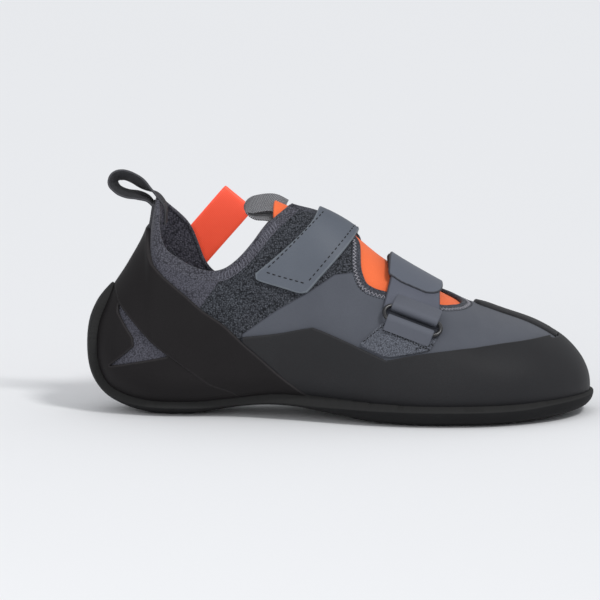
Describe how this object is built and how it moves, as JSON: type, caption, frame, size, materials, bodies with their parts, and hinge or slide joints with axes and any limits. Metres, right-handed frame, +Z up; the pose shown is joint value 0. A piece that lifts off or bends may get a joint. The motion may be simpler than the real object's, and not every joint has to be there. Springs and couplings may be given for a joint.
{
  "type": "climbing shoe",
  "caption": "Low rubber-soled climbing shoe for a right foot, with a rubber rand and heel band, a tongue, two closing straps, a wire ring and three pull loops.",
  "frame": {"origin": "middle of the flat spot under the heel, on the floor", "axes": "+X from heel to toe along the shoe, +Y to the big toe's side, +Z up"},
  "size_m": [0.2659, 0.0924, 0.1294],
  "materials": {
    "fabric": "smooth synthetic suede and heather knit",
    "lining": "brushed lining",
    "rubber": "matt moulded rubber",
    "strap": "coated strap webbing",
    "webbing": "woven tape",
    "bright_fabric": "smooth orange fabric",
    "wire": "black coated wire"
  },
  "bodies": {
    "root": {"upper": "fabric", "outsole": "rubber", "front_rand": "rubber", "slingshot_band": "rubber", "heel_cup": "rubber", "toe_patch": "rubber", "insole": "lining", "tongue": "bright_fabric", "upper_strap": "strap", "lower_strap": "strap", "ring": "wire", "ring_keeper": "strap", "heel_loop": "webbing", "tongue_loop": "webbing", "side_loop": "bright_fabric"}
  },
  "joints": []
}
